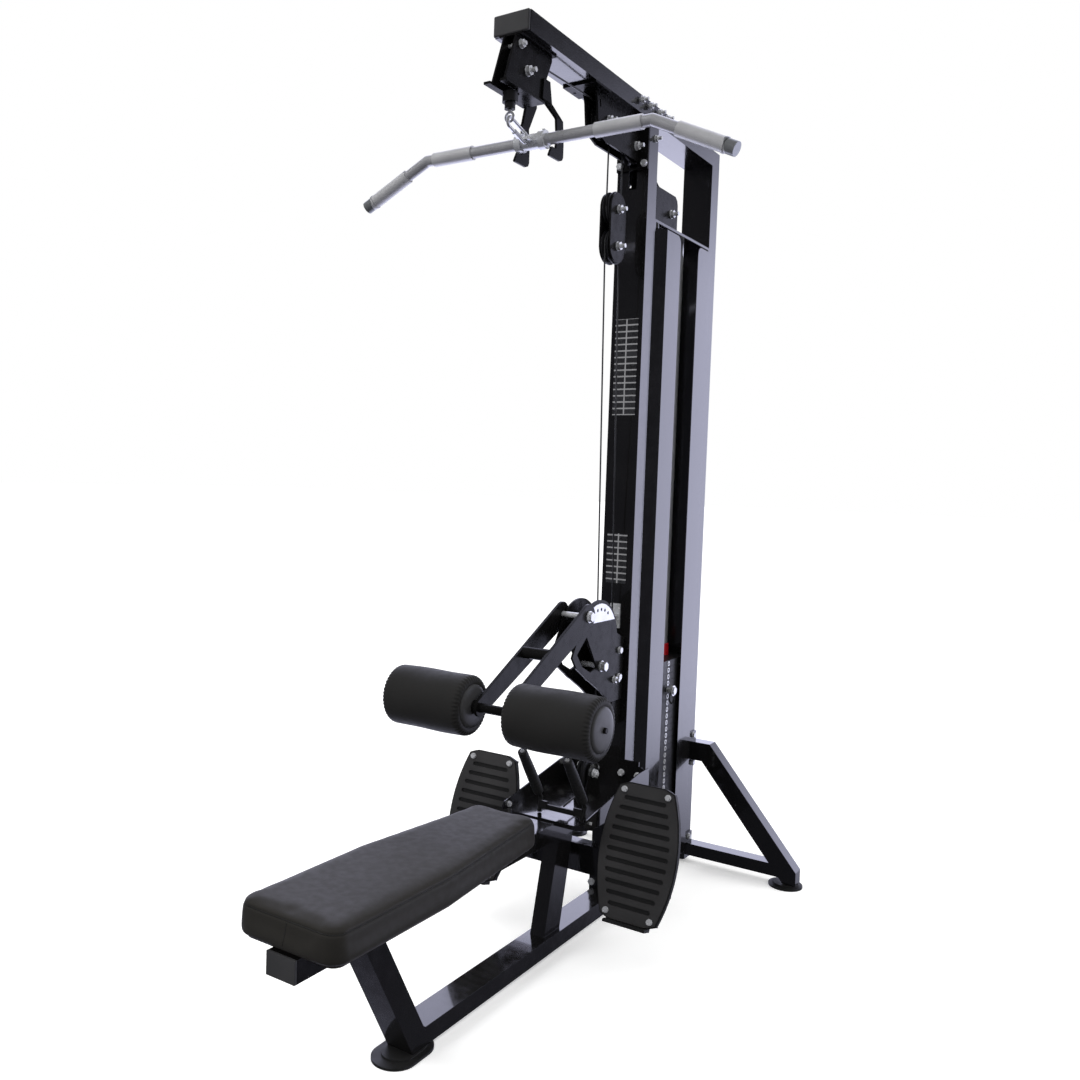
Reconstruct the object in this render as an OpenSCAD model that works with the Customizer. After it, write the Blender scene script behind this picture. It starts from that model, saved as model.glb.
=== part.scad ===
// Lat pulldown and low row machine with one weight stack.
// Axes: +X to the right of the seated user's view of the front, +Y from the bench
// towards the tower, +Z up. X = 0 is the plane of symmetry, Z = 0 is the floor and
// Y = 0 is the centre of the front foot. Lengths are in millimetres. The modules are
// drawn from the front face of the front column, and placed() moves them to the foot.

/* [Frame] */
// Height of the machine
frame_h = 2410; // [2350:10:2450]
// Reach of the top beam in front of the column
beam_reach = 690; // [680:5:700]
// Half the track of the rear feet
foot_track = 395; // [370:5:410]

/* [Bench] */
// Height of the top of the seat pad
seat_h = 454; // [446:2:458]
// Y of the front end of the bench
bench_front = -1392; // [-1420:4:-1360]

/* [Bar] */
// Diameter of the lat bar
bar_d = 29; // [25:1:30]
// Half the width of the lat bar to the end of the tube
bar_half = 523; // [500:1:560]

/* [Hidden] */
$fn = 64;

// Tubes
col_w = 100;
col_d = 60;
wall = 3;
foot_t = 8;
base_z = 10;
base_w = 72;
base_h = 45;
beam_h = 50;
beam_z = frame_h - beam_h;
rear_y = 492;
rear_end = rear_y + col_d;

// Bench
rail_w = 76;
rail_h = 48;
board_t = 14;
pad_t = 68;
rail_top = seat_h - pad_t - board_t;
rail_z = rail_top - rail_h;
rail_screw_z = rail_z - 13;
pad_front_half = 143;
pad_rear_half = 104;
pad_rear = -575;
taper_y = -1010;

// Pulleys: every one is the same wheel on an M12 bolt
groove_r = 44;
wheel_r = 50;
wheel_w = 22;
axle_r = 6;
cable_r = 2.4;
front_wheel = [-638, 2286];
overhead_wheel = [-206, 2300];
column_wheel = [-30, 2280];
stack_wheel = [232, 2143];
low_wheel = [-145, 450];
block_y = -118;
block_upper_z = 2077;
block_lower_z = 1973;

// Weight stack
stack_y = (col_d + rear_y) / 2;
plate_x = 120;
plate_y = 300;
pitch = 21.3;
plate_t = 20.8;
head_z = 721;
plates_total = 20;
plates_lifted = 4;
rod_r = 9.5;
rod_off = 100;
stem_r = 11;
pin_r = 4.5;
bush_r = 8;
bottom_z = head_z - plates_total * pitch - plate_t / 2;
base_plate_z = bottom_z - 32;
top_plate_z = 2080;

// Bar parked against the hooks
bar_y = -575;
bar_z = 2138;
bar_bend = 325;
bar_drop = 95;
drop_y = front_wheel[0] - groove_r;

// Thigh pad
pivot = [-259, 922];
roller = [-663, 722];
roller_r = 77;
head_c = [-174, 842];
pop = [-152, 768];
bracket_x = 28;
arm_x = 38;

// Foot end
tray_half = 130;
tray_front = -392;
tray_z = rail_top;
tray_ear = [-372, tray_z + 14];
row_x = 30;
row_y = -360;
row_z = tray_z + 6.5;

// ---------- helpers ----------
module at_x(x) { translate([x, 0, 0]) rotate([90, 0, 90]) children(); }

// a plate in the YZ plane from x to x + t, outline given as [y, z] points
module yz_plate(x, t, pts) { at_x(x) linear_extrude(t) polygon(pts); }

module rod_x(x0, x1, y, z, r) { translate([x0, y, z]) rotate([0, 90, 0]) cylinder(r = r, h = x1 - x0); }

module rod_y(y0, y1, x, z, r) { translate([x, y0, z]) rotate([-90, 0, 0]) cylinder(r = r, h = y1 - y0); }

module rod_z(z0, z1, x, y, r) { translate([x, y, z0]) cylinder(r = r, h = z1 - z0); }

// straight round rod between two points
module rod_pts(a, b, r) {
    d = b - a;
    len = norm(d);
    tilt = acos(d[2] / len);
    turn = atan2(d[1], d[0]);
    translate(a) rotate([0, tilt, turn]) cylinder(r = r, h = len);
}

module hex(af, h) { cylinder(r = af / 2 / cos(30), h = h, $fn = 6); }

// bolt with its nut and threaded end outside x1 and its head outside x0
module bolt_x(x0, x1, y, z, r = 6, stick = 14) {
    rod_x(x0 - r, x1 + 2 + r * 1.5 + stick, y, z, r);
    rod_x(x1, x1 + 2, y, z, r * 2.2);
    translate([x1 + 2, y, z]) rotate([0, 90, 0]) hex(r * 3.6, r * 1.5);
    rod_x(x0 - 2, x0, y, z, r * 2.2);
    translate([x0 - 2 - r * 1.3, y, z]) rotate([0, 90, 0]) hex(r * 3.6, r * 1.3);
}

// screw with its head at the origin and its shank along -Z
module screw(r, grip, stick) {
    translate([0, 0, -grip]) cylinder(r = r, h = grip + 2 + r * 1.3 + stick);
    cylinder(r = r * 2.1, h = 2);
    translate([0, 0, 2]) hex(r * 3.4, r * 1.3);
}

// screw standing on a face whose outward normal is dir along X
module screw_x(x, y, z, dir, r = 5, grip = 12, stick = 0) {
    translate([x, y, z]) rotate([0, dir * 90, 0]) screw(r, grip, stick);
}

// screw standing on a face that looks towards -Y
module screw_y(x, y, z, r = 5, grip = 12) {
    translate([x, y, z]) rotate([90, 0, 0]) screw(r, grip, 0);
}

module hole_x(x0, x1, y, z, r) { rod_x(x0, x1, y, z, r + 0.4); }

module hole_y(y0, y1, x, z, r) { rod_y(y0, y1, x, z, r + 0.4); }

// grooved wheel turning about X, centre c = [y, z]
module wheel(c) {
    at_x(0) translate([c[0], c[1], 0]) rotate_extrude($fn = 96) polygon([
        [axle_r + 0.06, -wheel_w / 2], [16, -wheel_w / 2], [18, -8], [35, -8], [38, -wheel_w / 2],
        [wheel_r, -wheel_w / 2], [wheel_r, -7], [groove_r - 2.6, -2.9], [groove_r - 2.6, 2.9],
        [wheel_r, 7], [wheel_r, wheel_w / 2], [38, wheel_w / 2], [35, 8], [18, 8],
        [16, wheel_w / 2], [axle_r + 0.06, wheel_w / 2]
    ]);
}

// cable wrapped on a wheel from angle a0 to a1 about X, measured from +Y towards +Z
module wrap(c, a0, a1) {
    at_x(0) translate([c[0], c[1], 0]) rotate([0, 0, a0])
        rotate_extrude(angle = a1 - a0, $fn = 96) translate([groove_r, 0]) circle(r = cable_r, $fn = 24);
}

function on_wheel(c, a) = [0, c[0] + groove_r * cos(a), c[1] + groove_r * sin(a)];

module strand(a, b) { rod_pts(a, b, cable_r, $fn = 24); }

// strand that stops just short of the arcs at its ends
module free_strand(a, b) {
    u = (b - a) / norm(b - a);
    strand(a + 0.1 * u, b - 0.1 * u);
}

module mirrored() {
    children();
    mirror([1, 0, 0]) children();
}

// obround slab lying in XY
module obround(len, w, h) {
    for (s = [-1, 1]) translate([s * (len - w) / 2, 0, 0]) cylinder(r = w / 2, h = h);
    translate([-(len - w) / 2, -w / 2, 0]) cube([len - w, w, h]);
}

// ---------- welded frame ----------
// the welded tubes, shrunk by i on every side for the bore
module base_tubes(i) {
    translate([-base_w / 2 + i, -960 + i, base_z + i]) cube([base_w - 2 * i, 960 - 2 * i, base_h - 2 * i]);
    translate([-base_w / 2 + i, 0, 0]) at_x(0) linear_extrude(base_w - 2 * i) polygon([
        [-1005 + i, base_z + i], [-938 - i, base_z + i],
        [-1124 - i, rail_z + wall - i], [-1187 + i, rail_z + wall - i]
    ]);
    translate([-rail_w / 2 + i, bench_front + 8 + i, rail_z + i])
        cube([rail_w - 2 * i, -bench_front - 8 - 2 * i, rail_h - 2 * i]);
    translate([-22 + i, 0, 0]) at_x(0) linear_extrude(44 - 2 * i) polygon([
        [-407 + i, base_z + base_h - wall + i], [-322 - i, base_z + base_h - wall + i],
        [-258 - i, rail_z + wall - i], [-339 + i, rail_z + wall - i]
    ]);
    translate([-290 + i, -250 + i, 195 + i]) cube([580 - 2 * i, 45 - 2 * i, 80 - 2 * i]);
}

module base_frame() {
    color("#1c1d20") difference() {
        union() {
            difference() {
                base_tubes(0);
                base_tubes(wall);
            }
            translate([-50, -foot_t, base_z]) cube([100, foot_t, 90]);
            translate([-50, -foot_t, rail_z - 28]) cube([100, foot_t, 76]);
            for (s = [-1, 1]) footplate_place(s) for (x = [-plate_screw[0], plate_screw[0]]) {
                translate([x - 16, cover_t, -170]) cube([32, 6, 340]);
                translate([x - 12, cover_t + 5, -100]) cube([24, 72, 60]);
            }
        }
        for (x = [-42, 42]) {
            hole_y(-10, 2, x, 70, 5);
            hole_y(-10, 2, x, rail_screw_z, 5);
        }
        for (y = [-1290, -760]) rod_z(rail_z - 1, rail_top + 1, 0, y, 4.4);
        for (s = [-1, 1]) footplate_place(s) footplate_bolt_places() rod_y(-1, cover_t + 10, 0, 0, 4.4);
    }
}

// both columns are the same tube; y0 is the front face
module column_tube(y0) {
    difference() {
        translate([-col_w / 2, y0, 12]) cube([col_w, col_d, beam_z - 12]);
        translate([-col_w / 2 + wall, y0 + wall, 11]) cube([col_w - 2 * wall, col_d - 2 * wall, beam_z]);
    }
}

flange_z = [2234, 2345];
side_bolt = [40, 2316];
spine_z = [595, 622, 720, 800];
tray_t = 4;
tray_rear_z = 425;
cover_t = 14;
plate_screw = [63, 158.5];
plate_half = [108.5, 176.5];

// right (s = 1) or left (s = -1) footplate: origin at its centre, X across, -Y towards the feet
module footplate_place(s) {
    translate([s * 248, -321.5, 316.4]) rotate([-16.5, 0, 0]) children();
}

module footplate_bolt_places() {
    for (x = [-plate_screw[0], plate_screw[0]], z = [-plate_screw[1], plate_screw[1]])
        translate([x, 0, z]) children();
}

module front_column() {
    color("#17181a") difference() {
        column_tube(0);
        translate([-13, -1, 2165]) cube([26, col_d + 2, 170]);
        for (x = [-39, 39], z = flange_z) hole_y(-1, 8, x, z, 5);
        mirrored() hole_x(col_w / 2 - 12, col_w / 2 + 1, side_bolt[0], side_bolt[1], 5);
        for (x = [-42, 42]) {
            hole_y(-1, 8, x, 70, 5);
            hole_y(-1, 8, x, rail_screw_z, 5);
            hole_y(-1, 8, x, tray_rear_z, 5);
        }
        for (x = [-12, 12], z = spine_z) hole_y(-1, 8, x, z, 5);
        for (x = [-36, 36], z = [2118, 2192]) hole_y(50, col_d + 1, x, z, 4);
        for (x = [-36, 36], z = [base_plate_z - 14, top_plate_z - 14]) hole_y(50, col_d + 1, x, z, 4);
        hole_y(-1, 8, 0, 897, 5);
    }
}

module rear_column() {
    color("#17181a") difference() {
        union() {
            column_tube(rear_y);
            at_x(-col_w / 2) linear_extrude(col_w) polygon([
                [rear_y, beam_z - 1], [rear_end, beam_z - 1], [rear_end, frame_h], [rear_y, beam_z]
            ]);
        }
        at_x(-col_w / 2 + wall) linear_extrude(col_w - 2 * wall) polygon([
            [rear_y + wall, beam_z - 20], [rear_end - wall, beam_z - 20],
            [rear_end - wall, frame_h - 9], [rear_y + wall, beam_z - 1]
        ]);
        for (x = [-36, 36], z = [base_plate_z - 14, top_plate_z - 14]) hole_y(rear_y - 1, rear_y + 8, x, z, 4);
        for (z = stabiliser_z) hole_x(-51, 51, 522, z, 5);
    }
}

module top_beam() {
    color("#1b1c1f") difference() {
        at_x(-col_w / 2) linear_extrude(col_w) polygon([
            [-beam_reach + 10, beam_z], [rear_y, beam_z], [rear_end, frame_h], [-beam_reach + 10, frame_h]
        ]);
        at_x(-col_w / 2 + wall) linear_extrude(col_w - 2 * wall) polygon([
            [-beam_reach, beam_z + wall], [rear_y - 5, beam_z + wall],
            [rear_end - 12, frame_h - wall], [-beam_reach, frame_h - wall]
        ]);
        for (y = splice_y) hole_x(40, 51, y, splice_z, 5);
        for (y = [-660, -620, -570]) rod_z(beam_z - 1, beam_z + 8, 0, y, 4.4);
    }
}

splice_y = [-75, -18, 45, 103];
splice_z = 2392;

module tube_caps() {
    color("#101113") {
        translate([-col_w / 2, -beam_reach, beam_z]) minkowski() {
            translate([4, 4, 4]) cube([col_w - 8, 2, beam_h - 8]);
            sphere(r = 4, $fn = 24);
        }
        translate([-rail_w / 2, bench_front + 2, rail_z]) cube([rail_w, 6, rail_h]);
    }
}

// side plates and flange that hang the overhead wheels from the beam and column
module gusset_bracket() {
    color("#141517") difference() {
        union() {
            mirrored() yz_plate(15, 6, [
                [-288, beam_z], [-276, 2330], [-268, 2276], [-250, 2252], [-205, 2238], [0, 2238], [0, beam_z]
            ]);
            mirrored() translate([15, -foot_t, 2218]) cube([col_w / 2 - 15, foot_t, beam_z - 2218]);
            translate([-16, -foot_t, 2218]) cube([32, foot_t, 8]);
            translate([-col_w / 2, -345, beam_z - 6]) cube([col_w, 90, 6]);
        }
        hole_x(-60, 60, overhead_wheel[0], overhead_wheel[1], axle_r);
        hole_x(-60, 60, column_wheel[0], column_wheel[1], axle_r);
        for (x = [-39, 39], z = flange_z) hole_y(-20, 20, x, z, 5);
        for (y = [-285, -262]) hull() {
            hole_x(-30, 30, y, 2338, 3);
            hole_x(-30, 30, y + 3, 2324, 3);
        }
        for (x = [-38, 38]) rod_z(beam_z - 10, beam_z + 1, x, -300, 4.4);
    }
}

module pulley_housing() {
    color("#141517") difference() {
        union() {
            mirrored() yz_plate(14, 5, [
                [-690, beam_z], [-525, beam_z], [-523, 2348], [-549, 2292], [-569, 2232], [-738, 2232], [-706, 2318]
            ]);
            translate([-32, -750, 2226]) cube([64, 178, 6]);
            translate([-32, -690, beam_z - 5]) cube([64, 166, 5]);
        }
        hole_x(-60, 60, front_wheel[0], front_wheel[1], axle_r);
        hole_x(-60, 60, -672, 2338, 5);
        translate([-14, -751, 2220]) cube([28, 84, 20]);
        rod_z(2220, 2240, 0, -667, 14);
        for (y = [-660, -620, -570]) rod_z(beam_z - 10, beam_z + 8, 0, y, 4.4);
    }
}

// bent plates whose tongues hold the parked bar from behind and below
module bar_hooks() {
    color("#0f1012") mirrored() intersection() {
        translate([0, -480, 0]) rotate([90, 0, 0]) linear_extrude(120) polygon([
            [19, 2292], [25, 2292], [25, 2242], [53, 2196], [53, 2090], [47, 2090], [47, 2194], [19, 2240]
        ]);
        yz_plate(10, 60, [
            [-568, 2292], [-538, 2292], [-516, 2200], [-509, 2140], [-509, 2110], [-514, 2101], [-524, 2097],
            [-576, 2097], [-578, 2100], [-566, 2122], [-545, 2122], [-542, 2150], [-549, 2200], [-572, 2240]
        ]);
    }
}

module frame_bolts() {
    color("#c9cbce") {
        bolt_x(-19, 19, front_wheel[0], front_wheel[1], axle_r);
        bolt_x(-19, 19, -672, 2338, 5, 6);
        bolt_x(-21, 21, overhead_wheel[0], overhead_wheel[1], axle_r);
        bolt_x(-21, 21, column_wheel[0], column_wheel[1], axle_r);
        bolt_x(-24, 24, stack_wheel[0], stack_wheel[1], axle_r);
        bolt_x(-20, 20, low_wheel[0], low_wheel[1], axle_r, 4);
        for (x = [-39, 39], z = flange_z) screw_y(x, -foot_t, z);
        for (x = [-42, 42]) {
            screw_y(x, -foot_t, 70);
            screw_y(x, -foot_t, rail_screw_z);
            screw_y(x, -tray_t, tray_rear_z, 5, 8);
        }
        for (x = [-96, 96]) screw_y(x, -tray_t, tray_rear_z, 5, 14);
        for (s = [-1, 1]) screw_x(s * (tray_half - 3), tray_ear[0], tray_ear[1], -s, 4, 8);
        for (x = [-12, 12], z = spine_z) screw_y(x, -foot_t, z);
        for (y = splice_y) screw_x(56, y, splice_z, 1, 5, 12, 12);
        for (s = [-1, 1]) screw_x(s * col_w / 2, side_bolt[0], side_bolt[1], s, 5, 10, 12);
        for (s = [-1, 1], z = [720, 800]) screw_x(s * (bracket_x + 6), -36, z, s, 5, 8);
        bolt_x(-bracket_x - 6, bracket_x + 6, -66, 716, 5, 10);
        for (s = [-1, 1], z = stabiliser_z) screw_x(s * 56, 522, z, s, 5, 10);
        for (s = [-1, 1]) footplate_place(s) footplate_bolt_places() screw_y(0, -3, 0, 4, cover_t + 12);
        for (y = bench_screw_y) {
            rod_z(rail_z - 4, rail_top + board_t - 2, 0, y, 4);
            translate([0, y, rail_z - 6]) hex(13, 6);
        }
    }
}

module stack_bracket() {
    color("#15161a") difference() {
        union() {
            mirrored() yz_plate(18, 6, [
                [col_d, 2100], [281, 2100], [281, 2178], [276, 2194], [262, 2204], [col_d, 2204]
            ]);
            mirrored() translate([18, col_d, 2100]) cube([30, 5, 104]);
        }
        hole_x(-40, 40, stack_wheel[0], stack_wheel[1], axle_r);
        for (x = [-36, 36], z = [2118, 2192]) hole_y(50, 70, x, z, 4);
    }
}

// plate between the columns that holds the ends of the guide rods
module cross_plate(z) {
    difference() {
        union() {
            translate([-col_w / 2, col_d, z]) cube([col_w, rear_y - col_d, 8]);
            for (y = [col_d, rear_y - 6]) translate([-col_w / 2, y, z - 28]) cube([col_w, 6, 29]);
        }
        for (y = [stack_y - rod_off, stack_y + rod_off]) rod_z(z - 1, z + 9, 0, y, rod_r + 0.3);
        for (x = [-36, 36]) {
            hole_y(col_d - 1, col_d + 7, x, z - 14, 4);
            hole_y(rear_y - 7, rear_y + 1, x, z - 14, 4);
        }
    }
}

module rod_plates() {
    color("#1b1c20") difference() {
        union() {
            cross_plate(top_plate_z);
            cross_plate(base_plate_z);
        }
        rod_z(top_plate_z - 1, top_plate_z + 9, 0, stack_y, 14);
    }
}

module guide_rods() {
    color("#d4d6d9") for (y = [stack_y - rod_off, stack_y + rod_off])
        rod_z(base_plate_z, top_plate_z + 8, 0, y, rod_r);
}

module stack_bumpers() {
    color("#111111") for (y = [stack_y - rod_off, stack_y + rod_off]) difference() {
        rod_z(base_plate_z + 8, bottom_z - 0.2, 0, y, 22);
        rod_z(base_plate_z, bottom_z + 1, 0, y, rod_r + 0.3);
    }
}

// one stack plate whose pin hole is at height z; k = 0 is the head plate
module stack_plate(z, rod_clear) {
    difference() {
        translate([-plate_x / 2, stack_y - plate_y / 2, z - plate_t / 2]) cube([plate_x, plate_y, plate_t]);
        for (y = [stack_y - rod_off, stack_y + rod_off]) rod_z(z - 20, z + 20, 0, y, rod_r + rod_clear);
        rod_z(z - 20, z + 20, 0, stack_y, stem_r + 1);
        rod_x(0, plate_x / 2 + 1, stack_y, z, pin_r + 0.6);
        rod_x(plate_x / 2 - 4, plate_x / 2 + 1, stack_y, z, bush_r + 0.05);
    }
}

module pin_bush(z) {
    difference() {
        rod_x(plate_x / 2 - 3.9, plate_x / 2 + 1.5, stack_y, z, bush_r);
        rod_x(plate_x / 2 - 5, plate_x / 2 + 2, stack_y, z, pin_r + 0.4);
    }
}

module resting_plates() {
    color("#2a2b2f") for (k = [plates_lifted + 1 : plates_total]) stack_plate(head_z - k * pitch, 1);
}

module resting_bushes() {
    color("#dfe1e4") for (k = [plates_lifted + 1 : plates_total]) pin_bush(head_z - k * pitch);
}

module head_plate() {
    color("#2a2b2f") stack_plate(head_z, 0.06);
}

module lifted_plates() {
    color("#2a2b2f") for (k = [1 : plates_lifted]) stack_plate(head_z - k * pitch, 1);
}

module lifted_bushes() {
    color("#dfe1e4") for (k = [0 : plates_lifted]) pin_bush(head_z - k * pitch);
}

module selector_stem() {
    color("#c9cbce") difference() {
        union() {
            rod_z(bottom_z + 2, head_z + plate_t / 2 + 14, 0, stack_y, stem_r);
            rod_z(head_z + plate_t / 2 + 0.3, head_z + plate_t / 2 + 14, 0, stack_y, 19);
            rod_z(head_z + plate_t / 2 + 13, head_z + plate_t / 2 + 40, 0, stack_y, 8);
        }
        for (k = [0 : plates_total]) rod_x(-20, 20, stack_y, head_z - k * pitch, pin_r + 0.4);
    }
}

module stack_sleeves() {
    color("#c8102e") for (y = [stack_y - rod_off, stack_y + rod_off]) difference() {
        rod_z(head_z + plate_t / 2, head_z + plate_t / 2 + 38, 0, y, 14);
        rod_z(head_z, head_z + 60, 0, y, rod_r + 0.06);
    }
}

module selector_pin() {
    z = head_z - plates_lifted * pitch;
    color("#d0d2d5") {
        rod_x(-9, plate_x / 2 + 8, stack_y, z, pin_r);
        rod_x(plate_x / 2 + 2, plate_x / 2 + 14, stack_y, z, 8);
        rod_x(plate_x / 2 + 14, plate_x / 2 + 22, stack_y, z, 17);
        rod_x(plate_x / 2 + 21, plate_x / 2 + 27, stack_y, z, 12);
    }
}

// bent sheet beside the stack; the rear pair is its mirror about the stack
module shroud(z1) {
    difference() {
        translate([0, 0, 60]) linear_extrude(z1 - 60) polygon([
            [28, col_d], [47, col_d], [73, 101.5], [73, 205], [71, 205], [71, 102.3], [45.8, 62], [28, 62]
        ]);
        difference() {
            translate([60, 180, z1 - 25]) cube([20, 30, 30]);
            rod_x(55, 85, 180, z1 - 25, 25);
        }
        translate([20, col_d - 5, base_plate_z - 32]) cube([31, 14, 48]);
        translate([20, col_d - 5, top_plate_z - 32]) cube([31, 14, 60]);
    }
}

module stack_shrouds() {
    color("#8d90a6") {
        mirrored() shroud(2062);
        translate([0, col_d + rear_y, 0]) mirror([0, 1, 0]) mirrored() shroud(2062);
    }
}

module cable_anchor() {
    color("#c9cbce") {
        difference() {
            translate([-16, -5, 860]) cube([32, 5, 74]);
            hole_y(-10, 1, 0, 897, 5);
        }
        translate([0, -24, 903]) at_x(0) rotate_extrude($fn = 48) translate([9, 0]) circle(r = 3, $fn = 24);
        rod_y(-15, 4, 0, 897, 5);
    }
}

module instruction_plates() {
    color("#3a3c40") {
        translate([-37, -1, 1500]) cube([74, 1, 285]);
        translate([-37, -1, 995]) cube([66, 1, 150]);
    }
}

// fixed side plates of the thigh pad with the spine that bolts to the column
module thigh_side(x) {
    difference() {
        at_x(x) linear_extrude(6) difference() {
            union() {
                translate(head_c) circle(r = 119, $fn = 128);
                polygon([[-292, 872], [-326, 812], [-300, 780], [-242, 745], [-150, 694], [-84, 650],
                    [-foot_t, 650], [-foot_t, 835], [-70, 860]]);
            }
            polygon([[-246, 862], [-300, 818], [-266, 780], [-217, 758], [-178, 768]]);
        }
        hole_x(-60, 60, pivot[0], pivot[1], 8);
        hole_x(-60, 60, pop[0], pop[1], 8);
        hole_x(-60, 60, -66, 716, 5);
        for (z = [720, 800]) hole_x(-60, 60, -36, z, 5);
    }
}

module thigh_bracket() {
    color("#44465a") {
        thigh_side(bracket_x);
        thigh_side(-bracket_x - 6);
        difference() {
            translate([-bracket_x, -56, 575]) cube([2 * bracket_x, 56, 255]);
            translate([-bracket_x + 5, -48, 570]) cube([2 * bracket_x - 10, 40, 265]);
            for (x = [-12, 12], z = spine_z) hole_y(-20, 1, x, z, 5);
            for (z = [720, 800]) hole_x(-60, 60, -36, z, 5);
            translate([-14, -60, 560]) cube([28, 30, 300]);
        }
    }
}

module index_disc() {
    color("#eceff2") difference() {
        intersection() {
            at_x(bracket_x + 6) linear_extrude(3) translate(head_c) circle(r = 109, $fn = 128);
            translate([0, -400, 898]) cube([60, 400, 100]);
        }
        hole_x(20, 50, pivot[0], pivot[1], 9);
        for (a = [58, 72, 86, 100, 114])
            hole_x(20, 50, head_c[0] + 92 * cos(a), head_c[1] + 92 * sin(a), 4.5);
    }
}

module pivot_bolt() {
    color("#26272a") {
        rod_x(-arm_x - 18, arm_x + 20, pivot[0], pivot[1], 8);
        for (s = [-1, 1]) translate([s * (arm_x + 8.5), pivot[0], pivot[1]]) rotate([0, s * 90, 0]) {
            cylinder(r = 17, h = 3);
            translate([0, 0, 3]) hex(24, 9);
        }
    }
}

// ---------- foot end ----------
module barrel(half_w, half_h, bulge) {
    r = (half_h * half_h + bulge * bulge) / (2 * bulge);
    intersection() {
        translate([half_w - r, 0]) circle(r = r, $fn = 128);
        translate([r - half_w, 0]) circle(r = r, $fn = 128);
        circle(r = norm([half_w - bulge, half_h]) - 8, $fn = 128);
        square([2 * half_w, 2 * half_h], center = true);
    }
}

module barrel_slab(half_w, half_h, y0, t) {
    translate([0, y0 + t, 0]) rotate([90, 0, 0]) linear_extrude(t) barrel(half_w, half_h, 36);
}

slot_pitch = 27.6;

// length of the slot k places above the middle one
function slot_len(k) = 176 - 2.2 * k * k;

module footplates() {
    color("#c4c7ca") for (s = [-1, 1]) footplate_place(s) difference() {
        barrel_slab(plate_half[0], plate_half[1], -3, 3);
        footplate_bolt_places() rod_y(-5, 2, 0, 0, 4.4);
        for (k = [-5 : 5]) translate([0, 1, k * slot_pitch]) rotate([90, 0, 0]) obround(slot_len(k), 11.5, 6);
    }
}

module footplate_covers() {
    color("#101113") for (s = [-1, 1]) footplate_place(s) difference() {
        union() {
            barrel_slab(plate_half[0] + 3, plate_half[1] + 3, 0, cover_t);
            translate([-60, -22, -186]) cube([120, 24, 8]);
            translate([-60, 0, -186]) cube([120, cover_t, 12]);
        }
        barrel_slab(plate_half[0] - 7, plate_half[1] - 7, 4, cover_t);
        footplate_bolt_places() rod_y(-5, cover_t + 2, 0, 0, 4.4);
    }
}

module foot_tray() {
    color("#111214") difference() {
        union() {
            translate([0, 0, tray_z]) linear_extrude(tray_t) tray_plan(0);
            translate([0, 0, tray_z - 8]) linear_extrude(12) difference() {
                tray_plan(0);
                tray_plan(3);
                translate([-300, -40]) square([600, 60]);
            }
            mirrored() yz_plate(tray_half - 3, 3, [
                [-347, tray_z], [-398, tray_z + 4], [-402, tray_z + 14], [-392, 398], [-80, 452], [-tray_t, 455],
                [-tray_t, tray_z]
            ]);
            mirrored() rod_x(tray_half - 3, tray_half, tray_ear[0], tray_ear[1], 12);
            rod_y(-tray_t, 0, 98, 430, 22);
            rod_y(-tray_t, 0, -98, 430, 22);
            translate([-tray_half, -tray_t, tray_z]) cube([2 * tray_half, tray_t, 72]);
            translate([-98, -tray_t, tray_z]) cube([196, tray_t, 94]);
            mirrored() yz_plate(14, 5, [
                [-190, tray_z + 1], [-172, 468], [-158, 478], [-132, 478], [-118, 468], [-96, tray_z + 1]
            ]);
        }
        mirrored() hole_x(tray_half - 5, tray_half + 2, tray_ear[0], tray_ear[1], 4);
        translate([-rail_w / 2, tray_front - 8, tray_z - 9]) cube([rail_w, 40, 9]);
        for (x = [-96, -42, 42, 96]) hole_y(-10, 5, x, tray_rear_z, 5);
        hole_x(-40, 40, low_wheel[0], low_wheel[1], axle_r);
    }
}

module tray_plan(i) {
    for (s = [-1, 1]) translate([s * (tray_half - 45), tray_front + 45]) circle(r = 45 - i, $fn = 64);
    translate([-tray_half + i, tray_front + 45]) square([2 * tray_half - 2 * i, -tray_front - 45]);
    translate([-tray_half + 45, tray_front + i]) square([2 * tray_half - 90, 46]);
}

// ---------- bench ----------
// outline of the pad, shrunk by i: round corners, tapering from taper_y to the rear
module bench_plan(i) {
    hull() {
        for (s = [-1, 1]) {
            translate([s * (pad_front_half - 45), bench_front + 45]) circle(r = 45 - i, $fn = 64);
            translate([s * (pad_front_half - 45), taper_y]) circle(r = 45 - i, $fn = 64);
            translate([s * (pad_rear_half - 40), pad_rear - 40]) circle(r = 40 - i, $fn = 64);
        }
    }
}

bench_screw_y = [-1290, -760];

module bench_board() {
    color("#2b2520") difference() {
        translate([0, 0, rail_top]) linear_extrude(board_t) bench_plan(20);
        for (y = bench_screw_y) rod_z(rail_top - 1, rail_top + board_t + 1, 0, y, 4.4);
    }
}

module bench_pad() {
    color("#1a1b1e") translate([0, 0, rail_top + board_t]) linear_extrude(pad_t) bench_plan(0);
}

// ---------- rear stabiliser ----------
leg_top = [127, 424];
leg_end = [foot_track + 39, 56];
leg_dir = (leg_end - leg_top) / norm(leg_end - leg_top);

// X of the sloping edge at height z, moved inwards by off
function leg_x(z, off) = leg_top[0] + off * leg_dir[1]
    + (z - leg_top[1] + off * leg_dir[0]) * leg_dir[0] / leg_dir[1];

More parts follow.
